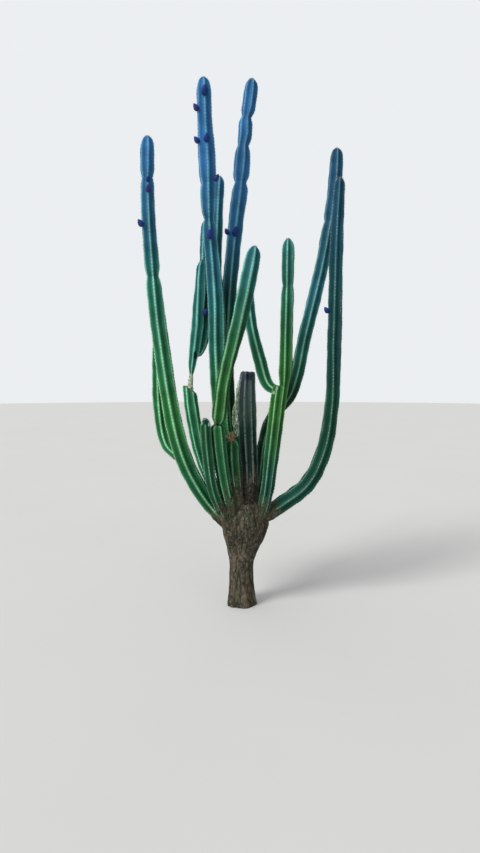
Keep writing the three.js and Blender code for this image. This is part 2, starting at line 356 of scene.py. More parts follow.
TRUNK = Limb(
    "trunk", ribs=TRUNK_LOBES, turn=0,
    knots=[
        (0.000, 0, 0.000, 0.104), (0.000, 0, 0.045, 0.095), (-0.002, 0, 0.130, 0.087),
        (-0.004, 0, 0.240, 0.082), (0.000, 0, 0.320, 0.088), (0.008, 0, 0.400, 0.112),
        (0.016, 0, 0.480, 0.142), (0.020, 0, 0.560, 0.160), (0.012, 0, 0.630, 0.150),
        (0.004, 0, 0.690, 0.112), (0.000, 0, 0.730, 0.060),
    ],
)

LIMBS = [
    Limb(
        "arm_left_tall", ribs=6, turn=0, cork=0.15, lines=0.85, waists=[(2.195, 0.2), (2.797, 0.16)],
        twist=[(1.9, 0), (2.3, 10), (2.9, 16)], tone=[(1.0, 1.2), (1.35, 1.45), (2.1, 1.35), (2.35, 1.0)],
        blue=[(1.5, 0.0), (1.75, -0.16), (2.15, -0.18), (2.45, 0.0)],
        knots=[
            (-0.050, -0.030, 0.520, 0.046), (-0.250, -0.095, 0.770, 0.058), (-0.397, -0.145, 1.085, 0.063),
            (-0.526, -0.200, 1.875, 0.058), (-0.585, -0.215, 2.600, 0.049), (-0.584, -0.215, 3.050, 0.048),
        ],
    ),
    Limb(
        "arm_left_rear", ribs=6, turn=-4, cork=0.03, tone=[(0, 1.35)],
        knots=[
            (-0.375, -0.125, 1.010, 0.036), (-0.500, -0.035, 1.115, 0.047), (-0.552, 0.010, 1.380, 0.050),
            (-0.555, 0.030, 1.862, 0.047),
        ],
    ),
    Limb(
        "stump_left", ribs=6, turn=30, end="healed", cork=0.14, rust=0.2, lines=0.8, slant=(0.80, 0.0),
        tone=[(0, 2.3)], blue=[(0, 0.08)],
        knots=[
            (-0.060, 0.020, 0.560, 0.038), (-0.190, 0.055, 0.800, 0.044), (-0.286, 0.060, 1.062, 0.048),
            (-0.338, 0.060, 1.338, 0.051), (-0.356, 0.060, 1.504, 0.046),
        ],
    ),
    Limb(
        "regrowth_left_outer", ribs=5, turn=0, cork=0, rust=0.1, twist=[(1.9, 0), (2.2, -25)],
        tone=[(1.7, 2.1), (1.95, 1.7), (2.4, 1.6)], blue=[(1.8, 0.12), (2.2, -0.08)],
        hollows=[(-0.306, 0.030, 1.700, 0.022), (-0.309, 0.030, 1.722, 0.016)],
        knots=[
            (-0.346, 0.060, 1.465, 0.010), (-0.344, 0.060, 1.560, 0.010), (-0.336, 0.060, 1.640, 0.027),
            (-0.318, 0.062, 1.760, 0.041), (-0.296, 0.068, 1.950, 0.045), (-0.262, 0.080, 2.350, 0.040),
        ],
    ),
    Limb(
        "regrowth_left_inner", ribs=5, turn=-28, cork=0, tone=[(1.75, 1.9), (2.2, 1.7), (2.6, 1.3)],
        blue=[(1.8, 0.12), (2.2, -0.06), (2.6, -0.14)],
        knots=[
            (-0.325, 0.066, 1.705, 0.012), (-0.290, 0.108, 1.735, 0.030), (-0.264, 0.146, 1.840, 0.045),
            (-0.250, 0.160, 2.200, 0.047), (-0.241, 0.182, 2.640, 0.044),
        ],
    ),
    Limb(
        "arm_centre_tall", ribs=6, turn=8, cork=0.12, waists=[(2.603, 0.28), (2.830, 0.14)],
        twist=[(0.7, -20), (1.9, -20), (2.35, -8), (2.7, 0)],
        tone=[(1.5, 1.6), (1.8, 1.4), (2.1, 1.2), (2.6, 1.0)],
        blue=[(1.5, 0.0), (1.8, 0.12), (2.1, 0.06), (2.3, 0)],
        knots=[
            (-0.030, 0.020, 0.640, 0.042), (-0.130, 0.060, 1.200, 0.055), (-0.160, 0.045, 1.611, 0.062),
            (-0.169, 0.015, 2.048, 0.062), (-0.215, 0.000, 2.600, 0.052), (-0.224, 0.000, 2.950, 0.065),
            (-0.238, 0.000, 3.200, 0.056), (-0.248, 0.000, 3.501, 0.052),
        ],
    ),
    Limb(
        "arm_centre_slim", ribs=5, turn=0, cork=0, tone=[(2.2, 0.9), (2.7, 1.15)], blue=[(0, -0.20)],
        knots=[
            (-0.168, 0.025, 1.900, 0.030), (-0.176, 0.155, 2.060, 0.038), (-0.177, 0.215, 2.308, 0.041),
            (-0.165, 0.235, 2.700, 0.041), (-0.151, 0.235, 2.950, 0.041),
        ],
    ),
    Limb(
        "arm_back_tall", ribs=6, turn=8, cork=0.12, waists=[(2.921, 0.24), (3.176, 0.22), (3.372, 0.26)],
        twist=[(2.9, 0), (3.1, 10)], tone=[(1.9, 0.75), (2.35, 0.78), (2.6, 1.0), (3.3, 1.0), (3.6, 0.85)],
        knots=[
            (0.000, 0.040, 0.640, 0.042), (-0.080, 0.110, 1.196, 0.052), (-0.104, 0.180, 1.822, 0.059),
            (-0.056, 0.245, 2.487, 0.058), (-0.006, 0.280, 2.921, 0.063), (0.012, 0.290, 3.176, 0.056),
            (0.025, 0.292, 3.240, 0.052), (0.030, 0.294, 3.345, 0.053), (0.051, 0.297, 3.445, 0.052),
            (0.074, 0.300, 3.632, 0.051),
        ],
    ),
    Limb(
        "stump_front", ribs=6, turn=30, end="healed", cork=0.1, rust=0, lines=0.6, scar=(0.60, 1.20),
        slant=(0.0, 0.25),
        knots=[
            (-0.050, -0.080, 0.600, 0.038), (-0.110, -0.135, 0.850, 0.045), (-0.147, -0.160, 1.110, 0.050),
            (-0.160, -0.162, 1.262, 0.048),
        ],
    ),
    Limb(
        "arm_front_leaning", ribs=5, turn=15, cork=0, twist=[(1.55, 24), (1.70, 16), (1.95, 0), (2.25, -6)],
        tone=[(1.6, 0.9), (1.95, 1.0), (2.2, 1.15)], blue=[(0, -0.12)],
        knots=[
            (-0.156, -0.161, 1.258, 0.026), (-0.149, -0.160, 1.292, 0.049), (-0.142, -0.159, 1.350, 0.052),
            (-0.116, -0.160, 1.545, 0.049), (-0.010, -0.172, 1.950, 0.057), (0.052, -0.168, 2.230, 0.057),
            (0.084, -0.160, 2.392, 0.048),
        ],
    ),
    Limb(
        "arm_front_short", ribs=6, turn=0, cork=0.1, lines=0.6, tone=[(0, 0.75)], blue=[(0, 0.05)],
        hollows=[(-0.225, -0.236, 1.275, 0.021)],
        pale=[
            (-0.259, -0.222, 1.264, 0.012), (-0.204, -0.226, 1.262, 0.012), (-0.236, -0.212, 1.294, 0.010),
        ],
        knots=[
            (-0.085, -0.085, 0.560, 0.033), (-0.180, -0.165, 0.800, 0.039), (-0.223, -0.200, 1.092, 0.042),
            (-0.234, -0.205, 1.296, 0.041),
        ],
    ),
    Limb(
        "stump_middle", ribs=7, turn=0, end="healed", cork=0.08, rust=0.6, lines=0.6, scar=(0.40, 1.30),
        slant=(0.0, 1.05), tone=[(0, 0.75)],
        knots=[
            (-0.010, -0.060, 0.620, 0.046), (-0.045, -0.062, 0.820, 0.055), (-0.066, -0.060, 1.010, 0.062),
            (-0.070, -0.060, 1.190, 0.060),
        ],
    ),
    Limb(
        "column_dead", ribs=8, turn=-18, end="cut", cork=0.10, rust=0.1,
        hollows=[(0.050, -0.010, 1.565, 0.036)],
        knots=[
            (0.045, 0.015, 0.600, 0.048), (0.054, 0.030, 0.860, 0.061), (0.040, 0.042, 1.180, 0.069),
            (0.036, 0.050, 1.407, 0.067), (0.044, 0.055, 1.600, 0.054),
        ],
    ),
    Limb(
        "arm_right_stout", ribs=7, turn=26, end="healed", cork=0.12, rust=0.05, lines=0.7,
        scar=(0.55, 1.10), tone=[(0.85, 0.6), (1.05, 0.8), (1.3, 1.0)],
        blue=[(0.9, 0.10), (1.1, -0.05), (1.3, -0.17)],
        pale=[(0.222, -0.160, 1.490, 0.016), (0.212, -0.135, 1.462, 0.012)],
        knots=[
            (0.090, -0.045, 0.560, 0.040), (0.150, -0.078, 0.700, 0.045), (0.202, -0.108, 1.082, 0.053),
            (0.230, -0.115, 1.330, 0.056), (0.254, -0.115, 1.512, 0.055),
        ],
    ),
    Limb(
        "arm_right_inner", ribs=5, turn=5, cork=0, tone=[(0, 1.25)], blue=[(0, 0.05)],
        knots=[
            (0.235, -0.105, 1.465, 0.034), (0.170, -0.062, 1.520, 0.044), (0.121, -0.030, 1.676, 0.046),
            (0.067, 0.005, 1.900, 0.041), (0.042, 0.035, 2.160, 0.038),
        ],
    ),
    Limb(
        "arm_right_upright", ribs=6, turn=-12, cork=0, lines=0.7, waists=[(2.155, 0.15)],
        tone=[(1.7, 0.95), (2.1, 1.2), (2.45, 1.5)], blue=[(1.6, -0.16), (1.9, -0.14), (2.4, -0.30)],
        pale=[(0.290, -0.150, 1.470, 0.018)],
        knots=[
            (0.279, -0.113, 1.480, 0.030), (0.287, -0.110, 1.590, 0.047), (0.293, -0.110, 1.860, 0.047),
            (0.300, -0.110, 2.200, 0.045), (0.302, -0.110, 2.450, 0.042),
        ],
    ),
    Limb(
        "arm_right_leaning", ribs=6, turn=0, cork=0.15, lines=0.75, waists=[(2.653, 0.14)],
        blue=[(2.0, 0.08), (2.6, -0.12), (3.1, -0.16)],
        tone=[
            (1.10, 0.75), (1.28, 0.45), (1.50, 0.5), (1.65, 1.1), (2.2, 1.2), (2.4, 0.9), (2.7, 0.65),
            (3.1, 0.58),
        ],
        pale=[
            (0.130, 0.085, 1.330, 0.035), (0.118, 0.090, 1.240, 0.035), (0.110, 0.085, 1.150, 0.030),
            (0.098, 0.080, 1.060, 0.022),
        ],
        knots=[
            (0.060, 0.060, 0.590, 0.036), (0.122, 0.115, 0.860, 0.040), (0.162, 0.133, 1.140, 0.046),
            (0.240, 0.142, 1.325, 0.049), (0.328, 0.149, 1.420, 0.050), (0.380, 0.156, 1.550, 0.051),
            (0.438, 0.182, 1.822, 0.053), (0.574, 0.250, 2.384, 0.054), (0.658, 0.303, 2.900, 0.053),
            (0.675, 0.325, 3.172, 0.050),
        ],
    ),
    Limb(
        "arm_right_outer", ribs=6, turn=-5, cork=0.25, lines=0.55,
        twist=[(1.4, 0), (1.75, -10), (2.1, -8), (2.5, -4)],
        tone=[(0.7, 0.62), (1.3, 0.54), (1.9, 0.50), (2.3, 0.55), (2.8, 0.55)],
        blue=[(1.9, 0.16), (2.3, -0.10), (2.8, -0.16)],
        nodes=("arm_right_outer_elbow", "arm_right_outer_column"),
        knots=[
            (0.080, -0.015, 0.575, 0.050), (0.275, -0.030, 0.704, 0.060), (0.450, -0.038, 0.849, 0.060),
            (0.558, -0.040, 1.085, 0.058), (0.604, -0.040, 1.380, 0.054), (0.617, -0.040, 1.841, 0.052),
            (0.625, -0.040, 2.500, 0.049), (0.641, -0.040, 2.856, 0.042),
        ],
    ),
]


def smooth_step(low, high, values):
    """0 below low, 1 above high, and a smooth rise between them. It falls where low is above high."""
    share = np.clip((values - low) / (high - low), 0, 1)
    return share * share * (3 - 2 * share)


def unit(vectors):
    return vectors / np.linalg.norm(vectors, axis=-1, keepdims=True)


def turns(count):
    """Even turns round a circle."""
    return np.arange(count) * 2 * math.pi / count


def around(first, second, turn):
    """The first direction, turned towards the second by an angle or by each of several."""
    return first * np.cos(turn)[..., None] + second * np.sin(turn)[..., None]


def gathered(rows):
    """The first values of all rows in one array, the second ones in another, and so on."""
    return [np.concatenate(column) for column in zip(*rows)]


def bumps(points, height, size, seed):
    """Smooth bumps of about the given height and size."""
    waves = np.random.default_rng(seed)
    ways = unit(waves.normal(size=(BUMP_WAVES, 3))) * waves.uniform(*BUMP_SPREAD, (BUMP_WAVES, 1))
    phases = waves.uniform(0, 2 * math.pi, BUMP_WAVES)
    return height * np.sin(points @ (ways * math.pi / size).T + phases).sum(-1) / BUMP_SUM


def through_knots(knots, where, even):
    """A Catmull-Rom curve at places counted in knots. An even one ignores how far apart the knots are."""
    first, last = (knots[0], knots[-1]) if even else (2 * knots[0] - knots[1], 2 * knots[-1] - knots[-2])
    padded = np.vstack([first, knots, last])
    index = np.minimum(where.astype(int), len(knots) - 2)
    p0, p1, p2, p3 = (padded[index + i] for i in range(4))
    pairs = ((p0, p1), (p1, p2), (p2, p3))
    d0, d1, d2 = (1.0 if even else np.sqrt(np.linalg.norm(b - a, axis=1, keepdims=True)) for a, b in pairs)
    start = ((p1 - p0) / d0 - (p2 - p0) / (d0 + d1) + (p2 - p1) / d1) * d1
    stop = ((p2 - p1) / d1 - (p3 - p1) / (d1 + d2) + (p3 - p2) / d2) * d1
    t = (where - index)[:, None]
    cubic = 2 * (p1 - p2) + start + stop
    square = 3 * (p2 - p1) - 2 * start - stop
    return p1 + t * (start + t * (square + t * cubic))


class Stem:
    """A limb's centre line with its radius, measured by length along it."""

    def __init__(self, limb):
        self.limb = limb
        knots = np.array(limb.knots)
        where = np.linspace(0, len(knots) - 1, SAMPLES)
        self.places = through_knots(knots[:, :3], where, even=False)
        self.radii = through_knots(knots[:, 3:], where, even=True)[:, 0]
        steps = np.linalg.norm(np.diff(self.places, axis=0), axis=1)
        self.lengths = np.concatenate([[0], np.cumsum(steps)])
        self.directions = unit(np.gradient(self.places, axis=0))
        self.length = self.lengths[-1]
        self.dome = DOME[limb.end] * self.radii[-1]
        self.shoulder = self.length - self.dome
        self.growing = limb.end == "growing"
        self.exit = 0.0  # where it leaves the stem that it grows on
        self.first_crest = math.radians(limb.turn) - math.pi / 2

    def read(self, values, along):
        return np.stack([np.interp(along, self.lengths, column) for column in values.T], -1)

    def dome_share(self, along):
        return np.clip((along - self.shoulder) / self.dome, 0, 1)

    def at(self, along):
        """The place, direction, side and back of the stem at some lengths, and its radius at the crests."""
        place = self.read(self.places, along)
        direction = unit(self.read(self.directions, along))
        side = unit(np.cross(AWAY, direction))
        back = np.cross(direction, side)
        radius = np.interp(along, self.lengths, self.radii) * np.sqrt(1 - self.dome_share(along) ** 2)
        for height, share in self.limb.waists:
            offset = place[:, 2] - height
            radius *= 1 - share * np.exp(-((offset / WAIST_REACH) ** 2))
            radius *= 1 - CREASE_DEPTH * np.exp(-((offset / CREASE_REACH) ** 2))
        return place, direction, side, back, radius

    def along_at(self, heights):
        return np.interp(heights, self.places[:, 2], self.lengths)


def rib_layout(ribs):
    """Angles round a stem, each with its rib and how far it is from the crest, up to 1 in the groove."""
    shares = [*(-share for share in reversed(CREST_POINTS)), *CREST_POINTS, 1.0]
    rib = np.repeat(np.arange(ribs), len(shares))
    share = np.tile(shares, ribs)
    return (2 * rib + share) * math.pi / ribs, rib, np.abs(share)


def rib_profile(across):
    """How high a rib's side is: 1 at the crest and 0 in the groove."""

    def rounded(share, radius):
        return (np.sqrt(share**2 + radius**2) - radius) / (math.sqrt(1 + radius**2) - radius)

    height = rounded(1 - rounded(across, CREST_ROUND), GROOVE_ROUND)
    return height + SIDE_FULLNESS * np.sin(math.pi * across) ** 2


def beat(along, rib):
    """A count of areoles along a crest, whole at each one. Odd ribs stand half a step higher."""
    return along / AREOLE_STEP - 0.5 * (rib % 2)


def notch_at(along, rib):
    """1 in the middle of an areole's notch and 0 between notches."""
    cycles = beat(along, rib)
    offset = (cycles - np.rint(cycles)) * AREOLE_STEP
    return np.exp(-((offset / NOTCH_LENGTH) ** 2))


def sway(along, stem):
    """How far a stem's ribs have turned from their first place."""
    height = np.interp(along, stem.lengths, stem.places[:, 2])
    twist = np.interp(height, *zip(*stem.limb.twist))
    return np.radians(twist + SWAY_DEGREES * np.sin(SWAY_SPEED * along + SWAY_SHIFT * stem.places[0, 0]))


def neighbours(count):
    """Each place round a ring, with the next one."""
    return [(index, (index + 1) % count) for index in range(count)]


def band(low, size):
    """Quads between a ring of points, whose first is number low, and the ring after it."""
    return [(low + a, low + b, low + size + b, low + size + a) for a, b in neighbours(size)]


def tube(points, foot, tip):
    """The points and faces of a closed tube, from its rings of points and a point at each end."""
    rings, size, _ = points.shape
    faces = [face for ring in range(rings - 1) for face in band(ring * size, size)]
    after = rings * size
    faces += [(after, b, a) for a, b in neighbours(size)]
    faces += [(after + 1, after - size + a, after - size + b) for a, b in neighbours(size)]
    return np.vstack([points.reshape(-1, 3), foot, tip]), faces


def lay_out(mesh, rings, size, columns):
    """Lays a tube of rings out flat for its colour map, cut into columns that stand side by side."""
    rows = rings + 1
    tall = math.ceil(rows / columns)
    row = np.concatenate([np.repeat(np.arange(1, rings), size), np.zeros(size, int), np.full(size, rings)])
    near = np.tile(np.arange(size), rows) / size
    far = near + 1 / size
    left, low = (row // tall) / columns, (row % tall) / tall
    width, high = MAP_FILL / columns, low + 1 / tall
    near, far = left + near * width, left + far * width
    middle = (near + far) / 2
    quads = (rings - 1) * size
    four = np.stack([near, low, far, low, far, high, near, high], -1)[:quads]
    foot = np.stack([middle, low, far, high, near, high], -1)[quads : quads + size]
    tip = np.stack([middle, high, near, low, far, low], -1)[quads + size :]
    corners = np.concatenate([four.ravel(), foot.ravel(), tip.ravel()])
    mesh.uv_layers.new(name="OFBake").data.foreach_set("uv", corners.astype(np.float32))


def write_attribute(mesh, name, values):
    """Keeps a number for each point of a mesh, for its material to read."""
    attribute = mesh.attributes.new(name, "FLOAT", "POINT")
    attribute.data.foreach_set("value", np.asarray(values, np.float32))


def add_mesh(name, points, faces, materials, worn=None, smooth=True):
    """A mesh object in the scene. worn is the number of each face's material."""
    mesh = bpy.data.meshes.new(name)
    mesh.from_pydata(np.asarray(points).tolist(), [], faces)
    for material in materials:
        mesh.materials.append(material)
    if worn is not None:
        mesh.polygons.foreach_set("material_index", np.asarray(worn, np.int32))
    mesh.polygons.foreach_set("use_smooth", np.full(len(mesh.polygons), smooth))
    mesh.update()
    piece = bpy.data.objects.new(name, mesh)
    bpy.context.scene.collection.objects.link(piece)
    return piece


def spots(points, places):
    """How near each point is to one of some places, each given with its size: 1 there and 0 well away."""
    share = np.zeros(points.shape[:-1])
    for *place, size in places:
        gap = np.linalg.norm(points - place, axis=-1) / size
        share = np.maximum(share, np.exp(-(gap**2) ** 1.5))
    return share


def slanted(stem, along, offset):
    """How far each point of a stem is lowered where its end was cut off at a slant."""
    radius = stem.radii[-1]
    right, front = stem.limb.slant
    near_end = smooth_step(stem.shoulder - SLANT_REACH * radius, stem.length - SLANT_WHOLE * radius, along)
    drop = right * (SLANT_PIVOT * radius + offset[..., 0]) + front * (SLANT_PIVOT * radius - offset[..., 1])
    return drop * near_end


def stem_surface(stem, along, angles, rib, across):
    """Points on the ribbed skin of a stem, and how corky, scarred and hollow it is at each of them."""
    limb = stem.limb
    place, direction, side, back, crest = (value[:, None] for value in stem.at(along))
    outward = around(side, back, angles + stem.first_crest + sway(along, stem)[:, None])
    share = stem.dome_share(along)[:, None]
    along = along[:, None]

    # Notched crests and grooves, which are shallower on an old foot and fade out on the rounded end.
    foot = smooth_step(limb.cork, 0, along - stem.exit) if limb.cork else np.zeros_like(along)
    groove = GROOVE + (OLD_GROOVE - GROOVE) * np.maximum(foot, share**3)
    reach = crest * (groove + (1 - groove) * rib_profile(across))
    narrow = np.exp(-((across / NOTCH_SPREAD) ** 2)) * (1 - share**2)
    reach -= NOTCH_DEPTH * notch_at(along, rib) * narrow

    # Bumps, which are finer and rougher where the skin has turned to cork.
    points = place + outward * reach[..., None]
    old_end = np.zeros_like(share) if stem.growing else smooth_step(*limb.scar, share)
    cork = np.maximum(foot, old_end)
    lumps = bumps(points, *SKIN_BUMPS) + cork * bumps(points, *CORK_BUMPS)
    points = place + outward * (reach + lumps * np.sqrt(1 - share**2))[..., None]

    # Hollows, and a sunken or slanted end.
    hollow = spots(points, limb.hollows)
    points -= outward * (HOLLOW_DEPTH * hollow)[..., None]
    sunk = SINK[limb.end] * stem.radii[-1] * smooth_step(SINK_FROM, 1.0, share)
    points -= direction * (sunk + slanted(stem, along, points - place))[..., None]
    points += direction * (old_end * bumps(points, *SCAR_BUMPS))[..., None]
    return points, cork, old_end, hollow


def skin_hue(limb, points):
    """How blue the skin is, from 0 to 1: green low down and blue high up, a little uneven."""
    height = points[..., 2]
    hue = LOWEST_HUE + (1 - LOWEST_HUE) * (height - GREEN_BELOW) / (BLUE_ABOVE - GREEN_BELOW)
    bluer = np.interp(height, *zip(*limb.blue)) + bumps(points, *HUE_BUMPS)
    return np.clip(np.clip(hue, LOWEST_HUE, 1) + bluer, 0, 1)


def build_stem(stem, skin):
    """The skin of a stem, with what its material reads at each point."""
    limb = stem.limb
    count = round(stem.shoulder / AREOLE_STEP) * RINGS_PER_AREOLE
    over = np.linspace(0, math.pi / 2, DOME_RINGS + 1)[1:-1]
    along = np.append(np.linspace(0, stem.shoulder, count + 1), stem.shoulder + stem.dome * np.sin(over))
    angles, rib, across = rib_layout(limb.ribs)
    points, cork, old_end, hollow = stem_surface(stem, along, angles, rib, across)
    values = {
        "hue": skin_hue(limb, points),
        "crest": limb.lines * np.clip(1 - across / CREST_LINE, 0, 1),
        "across": across,
        "beat": beat(along[:, None], rib),
        "cork": cork,
        "scar": old_end,
        "rust": limb.rust,
        # Painted light and shade: the skin is lightened or darkened by height.
        "tone": np.interp(points[..., 2], *zip(*limb.tone)),
        # Where the hollows are, for painted shade in them.
        "dark": hollow,
        "pale": spots(points, limb.pale),
    }
    piece = add_mesh(limb.name + "_skin", *tube(points, stem.places[0], points[-1].mean(0)), [skin])
    for name, value in values.items():
        value = np.broadcast_to(value, points.shape[:2])
        write_attribute(piece.data, name, np.append(value, [value[0, 0], value[-1, 0]]))
    lay_out(piece.data, *points.shape[:2], max(1, round(stem.length / MAP_LENGTH)))
    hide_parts(*(limb.nodes or (limb.name,)))
    return piece


def buried(points, stems, own=None, share=0.90):
    """Which points lie inside another stem, as far as this share of its radius."""
    inside = np.zeros(len(points), bool)
    for other in stems:
        if other is own:
            continue
        low = other.places.min(0) - BURIED_MARGIN
        high = other.places.max(0) + BURIED_MARGIN
        near = np.flatnonzero(((points > low) & (points < high)).all(1) & ~inside)
        for part in np.array_split(near, len(near) // BURIED_BATCH + 1):
            gap = np.linalg.norm(points[part, None] - other.places[None, ::3], axis=2)
            inside[part] |= (gap < share * other.radii[None, ::3]).any(1)
    return inside


class Areoles:
    """The areoles of some stems: places, outward and upward directions, and how young each one is."""

    def __init__(self, stems, all_stems):
        self.place, self.out, self.up, self.young = gathered(self.on_stem(stem, all_stems) for stem in stems)
        self.left = np.cross(self.up, self.out)

    def on_stem(self, stem, all_stems):
        limb = stem.limb
        start = math.ceil((stem.exit + AREOLES_FROM) / AREOLE_STEP)
        below = np.arange(start, stem.shoulder / AREOLE_STEP - 0.5) * AREOLE_STEP
        over = np.radians(YOUNG_RINGS if stem.growing else ())
        rows = []
        for rib in range(limb.ribs):
            half = 0.5 * (rib % 2)
            along = np.append(below + half * AREOLE_STEP, stem.shoulder + stem.dome * np.sin(over))
            tilt = np.append(np.zeros(len(below)), over)
            place, direction, side, back, crest = stem.at(along)
            angle = 2 * math.pi * rib / limb.ribs + stem.first_crest + sway(along, stem)
            outward = around(side, back, angle)
            out = unit(around(outward / stem.radii[-1], direction / stem.dome, tilt))
            offset = outward * (crest - NOTCH_DEPTH * np.cos(tilt))[:, None]
            seat = place + offset - direction * slanted(stem, along, offset)[:, None]
            up = unit(direction - (direction * out).sum(1, keepdims=True) * out)
            young = stem.growing * smooth_step(YOUNG_REACH, 0.0, stem.length - along)
            rows.append((seat, out, up, young))
        found = gathered(rows)
        seat = found[0]
        free = ~buried(seat, all_stems, stem) & (seat[:, 2] > LOWEST_AREOLE)
        free &= spots(seat, limb.hollows) < HOLLOW_EDGE
        return [values[free] for values in found]


def joined(shapes):
    """One list of points and one of faces from several shapes."""
    points, faces, start = [], [], 0
    for shape_points, shape_faces in shapes:
        points.append(shape_points)
        faces += [[start + index for index in face] for face in shape_faces]
        start += len(shape_points)
    return np.vstack(points), faces


def repeated(faces, count, size):
    """The faces of a small shape, for that many copies of its points."""
    return [[start + index for index in face] for start in range(0, count * size, size) for face in faces]


def square_to(ways):
    """Two directions square to each of the given ones and to each other."""
    across = unit(np.cross(ways, np.where(np.abs(ways[:, 2:]) < NEARLY_UP, UP, RIGHT)))
    return across, np.cross(ways, across)


def add_cones(name, base, way, length, width, materials, worn):
    """Many thin closed three-sided cones in one mesh, each with its own material."""
    across, over = square_to(way)
    corners = [base + width * around(across, over, turn) for turn in turns(3)]
    points = np.stack([*corners, base + way * length[:, None]], 1).reshape(-1, 3)
    faces = repeated(((0, 1, 3), (1, 2, 3), (2, 0, 3), (2, 1, 0)), len(base), 4)
    return add_mesh(name, points, faces, materials, np.repeat(worn, 4), smooth=False)


def add_spines(name, areoles, materials):
    """Short spines that lie round each areole, and longer ones that stand in its middle."""
    count = len(areoles.place)
    rows = []
    for index in range(SPINES_AROUND + SPINES_MIDDLE):
        kind = "around" if index < SPINES_AROUND else "middle"
        lean = np.radians(rng.normal(SPINE_LEAN[kind], SPINE_LEAN_SPREAD, count))
        turn = 2 * math.pi * (index + rng.uniform(-SPINE_UNEVEN, SPINE_UNEVEN, count)) / SPINES_AROUND
        spread = around(areoles.up, areoles.left, turn)
        length = rng.uniform(*SPINE_LENGTH[kind], count)
        worn = np.digitize(rng.uniform(0, 1, count) + YOUNG_PALER * areoles.young, SPINE_SHARES)
        base = areoles.place + spread * SPINE_APART
        rows.append((base, unit(around(areoles.out, spread, lean)), length, worn))
    base, way, length, worn = gathered(rows)
    return add_cones(name, base, way, length, SPINE_WIDTH, materials, worn)


def add_pads(name, areoles, materials):
    """A small pad of felt in each areole."""
    count = len(areoles.place)
    size = rng.uniform(*PAD_SIZES, (count, 1))
    rows = []
    for height, wide in PAD_RINGS:
        for turn in turns(PAD_SIDES):
            offset = around(areoles.left * PAD_WIDTH, areoles.up * PAD_HEIGHT, turn)
            rows.append(areoles.place + size * (wide * offset + areoles.out * height))
    rows.append(areoles.place + areoles.out * size * PAD_THICKNESS)
    points = np.stack(rows, 1).reshape(-1, 3)
    shape = band(0, PAD_SIDES)
    shape += [(PAD_SIDES + a, PAD_SIDES + b, 2 * PAD_SIDES) for a, b in neighbours(PAD_SIDES)]
    shape.append(tuple(reversed(range(PAD_SIDES))))
    worn = np.digitize(rng.uniform(0, 1, count) - YOUNG_GREYER * areoles.young, PAD_SHARES)
    faces = repeated(shape, count, len(rows))
    return add_mesh(name, points, faces, materials, np.repeat(worn, len(shape)))


def add_wool(name, stems, materials):
    """A tuft of short pale hairs on each growing tip."""
    rows = []
    for stem in stems:
        axis = stem.directions[-1]
        across, over = (ways[0] for ways in square_to(axis[None]))
        lean = np.radians(rng.uniform(0, WOOL_LEAN, WOOL_HAIRS))
        spread = around(across, over, rng.uniform(0, 2 * math.pi, WOOL_HAIRS))
        lower = WOOL_ROOT + WOOL_RADIUS * WOOL_FALL * (1 - np.cos(lean))
        base = stem.places[-1] - axis * lower[:, None] + spread * np.sin(lean)[:, None] * WOOL_RADIUS
        rows.append((base, unit(around(axis, spread, lean)), rng.uniform(*WOOL_LENGTH, WOOL_HAIRS)))
    base, way, length = gathered(rows)
    worn = rng.integers(0, len(materials), len(base))
    return add_cones(name, base, way, length, WOOL_WIDTH, materials, worn)


def bud_shape(base, axis, across, length, width):
    """An egg-shaped bud wrapped in small pointed scales."""
    share = np.linspace(0, 1, BUD_RINGS + 2)[1:-1, None]
    turn = turns(BUD_SIDES)
    fullest, fullness = BUD_POWERS
    row, column = BUD_SCALE_ROWS * share, BUD_SCALE_COLUMNS * turn
    scale = np.abs(np.sin(column + row) * np.sin(column - row))
    reach = width * np.sin(math.pi * share**fullest) ** fullness * (1 + BUD_SCALES * scale)
    ring = around(across, np.cross(axis, across), turn)
    points = base + axis * (share * length)[..., None] + ring * reach[..., None]
    return tube(points, base, base + axis * length)


def add_buds(stems, materials):
    """The flower buds, each on the crest of a rib."""
    shapes = []
    for name, height, degrees, length in BUDS:
        stem = stems[name]
        along = stem.along_at(height)
        rib = 2 * math.pi / stem.limb.ribs
        wanted = math.radians(degrees) - math.pi / 2 - stem.first_crest
        angle = round(wanted / rib) * rib + stem.first_crest + sway(along, stem)
        place, direction, side, back, crest = (value[0] for value in stem.at(along[None]))
        out = around(side, back, angle)
        axis = unit(out * BUD_OUT + direction * rng.uniform(*BUD_UP))
        across = unit(np.cross(axis, direction))
        base = place + out * (crest - BUD_ROOT)
        shapes.append(bud_shape(base, axis, across, length + BUD_HIDDEN, length * BUD_WIDTH))
    worn = np.repeat(np.arange(len(shapes)) % len(materials), len(shapes[0][1]))
    return add_mesh("flower_buds", *joined(shapes), materials, worn)


def tube_shape(places, radii, sides, lumps=0.0, seed=0):
    """A closed tube along a line, with its own radius at each place."""
    ways = unit(np.gradient(places, axis=0))
    across = unit(np.cross(ways, TUBE_HELPER))
    ring = around(across[:, None], np.cross(ways, across)[:, None], turns(sides)) * radii[:, None, None]
    points = places[:, None] + ring
    points += ring * bumps(points, lumps, TUBE_BUMP_WIDTH, seed)[..., None]
    foot, tip = (ways[i] * radii[i] * TUBE_BULGE for i in (0, -1))
    return tube(points, places[0] - foot, places[-1] + tip)


